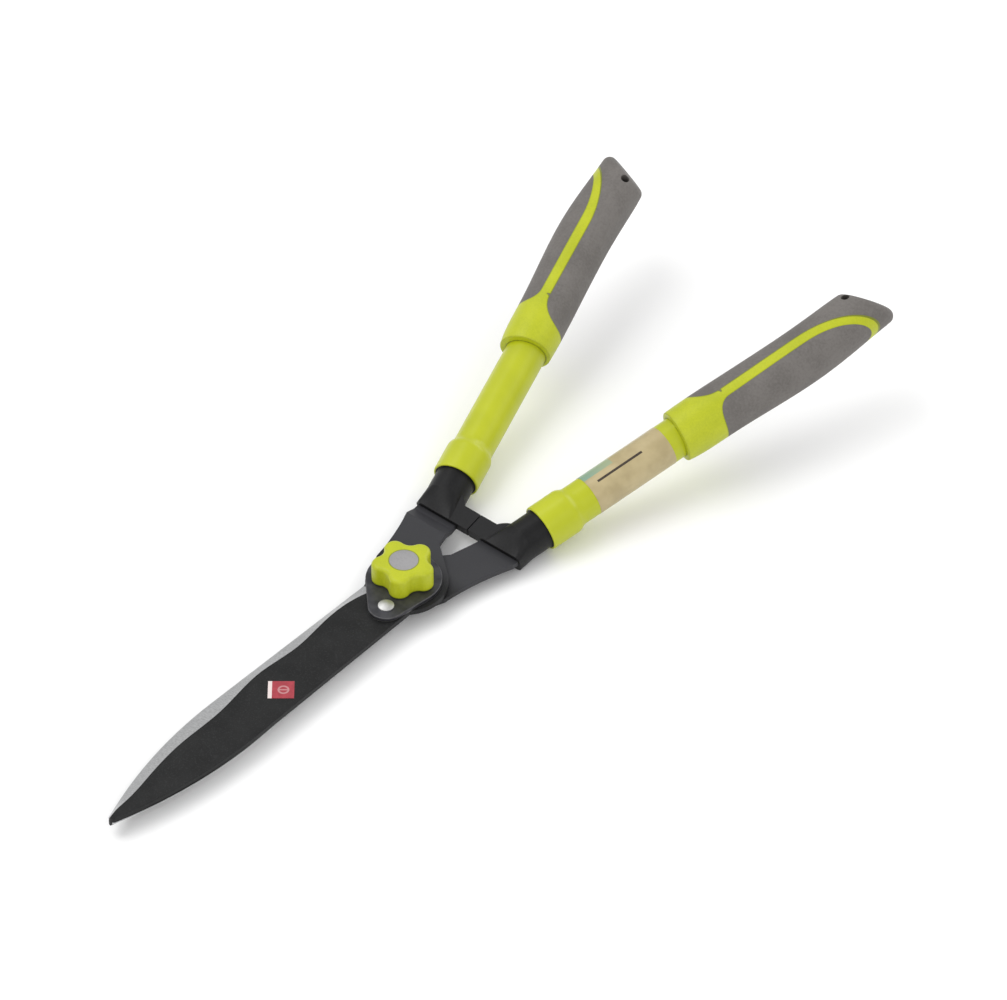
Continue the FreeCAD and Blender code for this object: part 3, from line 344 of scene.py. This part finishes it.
MATERIALS = {
    "lime_coat": powder_coat("lime_powder_coat", LIME, LIME_COAT_SHADE),
    "lime_plastic": moulding("lime_moulding", LIME, LIME_PLASTIC_SHADE, 0.35, 0.40, edge_shade=LIME_GROOVE_SHADE),
    "grey_rubber": moulding("grey_soft_grip", GREY, GREY_SHADE, 0.5, 0.62, gloss=0.3),
    "black_nylon": moulding("black_nylon", NYLON, NYLON_SHADE, 0.4, 0.42, gloss=0.22),
    "pad_rubber": moulding("pad_rubber", PAD, PAD_SHADE, 0.5, 0.7, gloss=0.2),
    "grey_plastic": moulding("grey_cap", CAP_GREY, CAP_GREY_SHADE, 0.3, 0.45),
    "zinc_steel": bare_steel("zinc_steel", 0.58),
    "rivet_steel": bare_steel("rivet_steel", 0.68, 0.5, polish=0.25),
    "bush_bronze": bare_steel("bush_bronze", 0.5),
    "black_plate": coated_plate("dark_plate"),
    "paper_label": tube_film("tube_film"),
    "red_label": blade_film("blade_film"),
}
BLADES = {
    "upper_blade": blade_steel("upper_blade_steel", -1, 1),
    "lower_blade": blade_steel("lower_blade_steel", 1, -1),
}


def dress(thing, material):
    thing.data.materials.clear()
    thing.data.materials.append(material)


for part in frame["record"]["subparts"]:
    node = frame["nodes"][part["node"]]
    dress(node, BLADES.get(part["node"]) or MATERIALS[part["material_slot"]])


# ---------------------------------------------------------------- floor, light and camera

FLOOR_HALF_WIDTH = 6.0
WORLD_STRENGTH = 0.72
LIGHTS = (
    # name, place from the middle of the shears and size, both in metres, and power in watts
    ("key", (-0.9, -0.5, 1.9), (1.8, 1.4), 21),
    ("fill", (1.6, -1.2, 1.3), (1.8, 1.8), 14),
    ("back", (0.3, 1.9, 1.2), (2.0, 1.0), 12),
)
LENS_MM = 251
SENSOR_MM = 36
CAMERA_BACK_MM = 4141.8
CAMERA_RIGHT_MM = 58.85
CAMERA_UP_MM = 45.98
AIM_ABOVE_PIVOT_MM = 5.9


def stage_floor():
    """A flat pale floor, level with the lowest point of the shears."""
    low = CAD_BOX[0].z
    half = FLOOR_HALF_WIDTH
    mesh = bpy.data.meshes.new("floor")
    corners = [(-half, -half, low), (half, -half, low), (half, half, low), (-half, half, low)]
    mesh.from_pydata(corners, [], [(0, 1, 2, 3)])
    floor = bpy.data.objects.new("floor", mesh)
    bpy.context.scene.collection.objects.link(floor)
    look = Look("floor_paper", Roughness=0.9)
    look.paint(look.mix(look.noise(400), FLOOR_SHADE, FLOOR))
    dress(floor, look.material)


def area_light(name, place, aim, size, power):
    data = bpy.data.lights.new(name, "AREA")
    data.shape = "RECTANGLE"
    data.size, data.size_y = size
    data.energy = power
    light = bpy.data.objects.new(name, data)
    light.location = place
    light.rotation_euler = (aim - place).to_track_quat("-Z", "Y").to_euler()
    bpy.context.scene.collection.objects.link(light)


def stage_light():
    """Three large soft lights and a white world, with colours shown as they are."""
    centre = (CAD_BOX[0] + CAD_BOX[1]) / 2
    for name, offset, size, power in LIGHTS:
        area_light(name, centre + Vector(offset), centre, size, power)
    world = bpy.data.worlds.new("studio")
    world.use_nodes = True
    background = world.node_tree.nodes["Background"]
    background.inputs["Color"].default_value = (1, 1, 1, 1)
    background.inputs["Strength"].default_value = WORLD_STRENGTH
    bpy.context.scene.world = world
    bpy.context.scene.view_settings.view_transform = "Standard"


def stage_camera():
    """A long lens, above and to the right of the tips."""
    aim = PIVOT + Vector((0, 0, AIM_ABOVE_PIVOT_MM * MM))
    right = Vector((0.765, 0.644, 0))
    up = Vector((-0.4377, 0.5203, 0.7335))
    ahead = Vector((-0.4724, 0.5613, -0.6798))
    data = bpy.data.cameras.new("camera")
    data.lens = LENS_MM
    data.sensor_width = SENSOR_MM
    data.clip_start, data.clip_end = 0.1, 50
    camera = bpy.data.objects.new("camera", data)
    camera.matrix_world = Matrix((
        (right.x, up.x, -ahead.x, 0),
        (right.y, up.y, -ahead.y, 0),
        (right.z, up.z, -ahead.z, 0),
        (0, 0, 0, 1)))
    camera.location = (aim + right * CAMERA_RIGHT_MM * MM + up * CAMERA_UP_MM * MM
                       - ahead * CAMERA_BACK_MM * MM)
    bpy.context.scene.collection.objects.link(camera)
    bpy.context.scene.camera = camera


stage_floor()
stage_light()
stage_camera()
